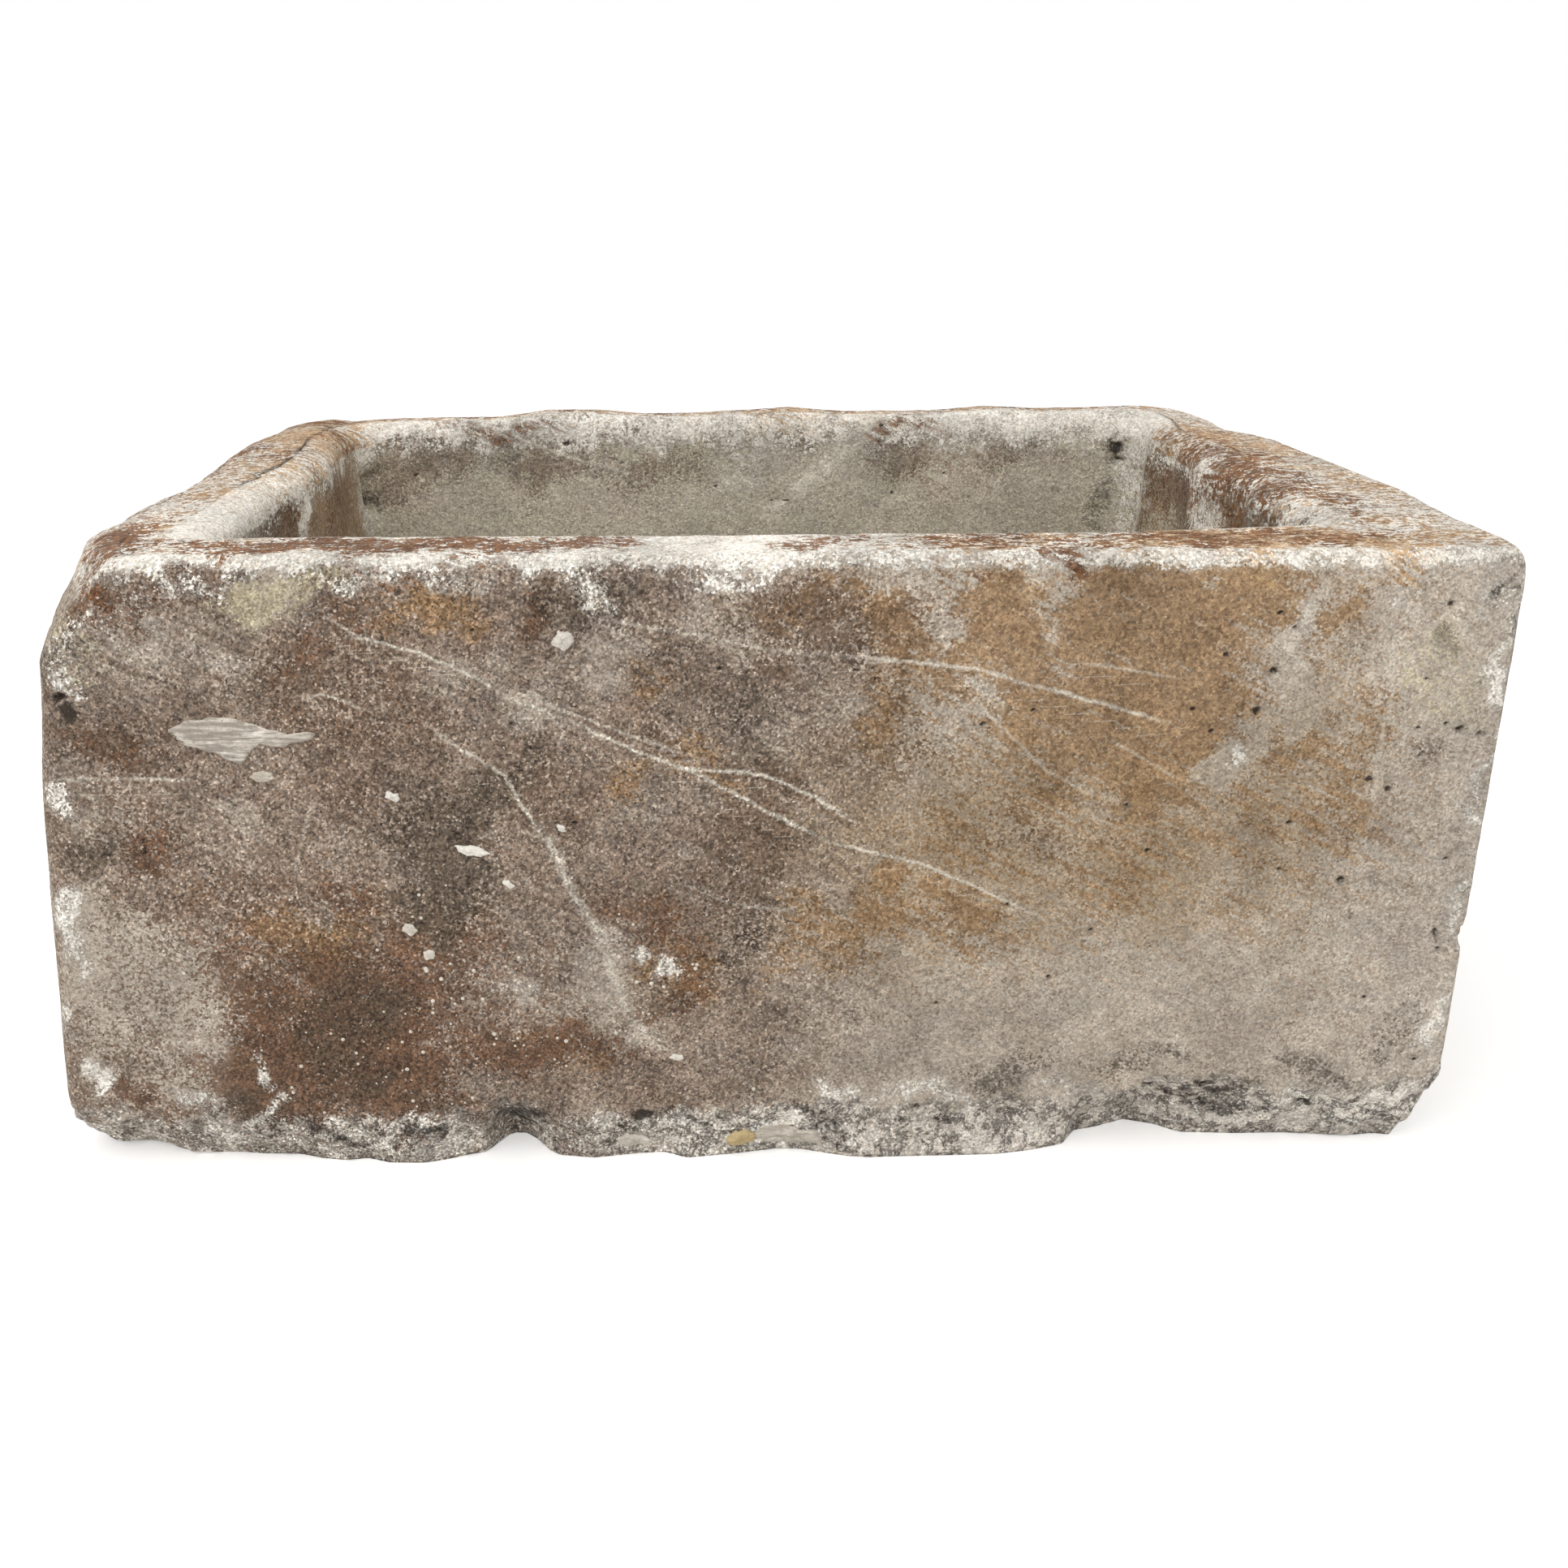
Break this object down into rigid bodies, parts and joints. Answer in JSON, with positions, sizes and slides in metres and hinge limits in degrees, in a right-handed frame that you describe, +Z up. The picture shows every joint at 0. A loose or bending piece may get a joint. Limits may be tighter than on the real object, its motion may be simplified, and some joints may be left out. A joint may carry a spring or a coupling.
{
  "type": "stone trough planter",
  "caption": "Long rectangular planter hewn from one block of stone, with an open basin, a drain hole in its floor and a flat foot.",
  "frame": {"origin": "under the middle of the foot, on the surface the trough stands on", "axes": "+X along the length, to the right seen from the front; +Y from front to back; +Z up"},
  "size_m": [1.0667, 0.644, 0.4928],
  "materials": {
    "weathered_stone": "weathered limestone, rough, stained brown, grey and rust",
    "lime_mortar": "dry lime mortar, pale and rough"
  },
  "bodies": {
    "root": {"trough_block": "weathered_stone", "mortar_smear": "lime_mortar", "lime_splashes": "lime_mortar", "bedding_mortar": "lime_mortar"}
  },
  "joints": []
}
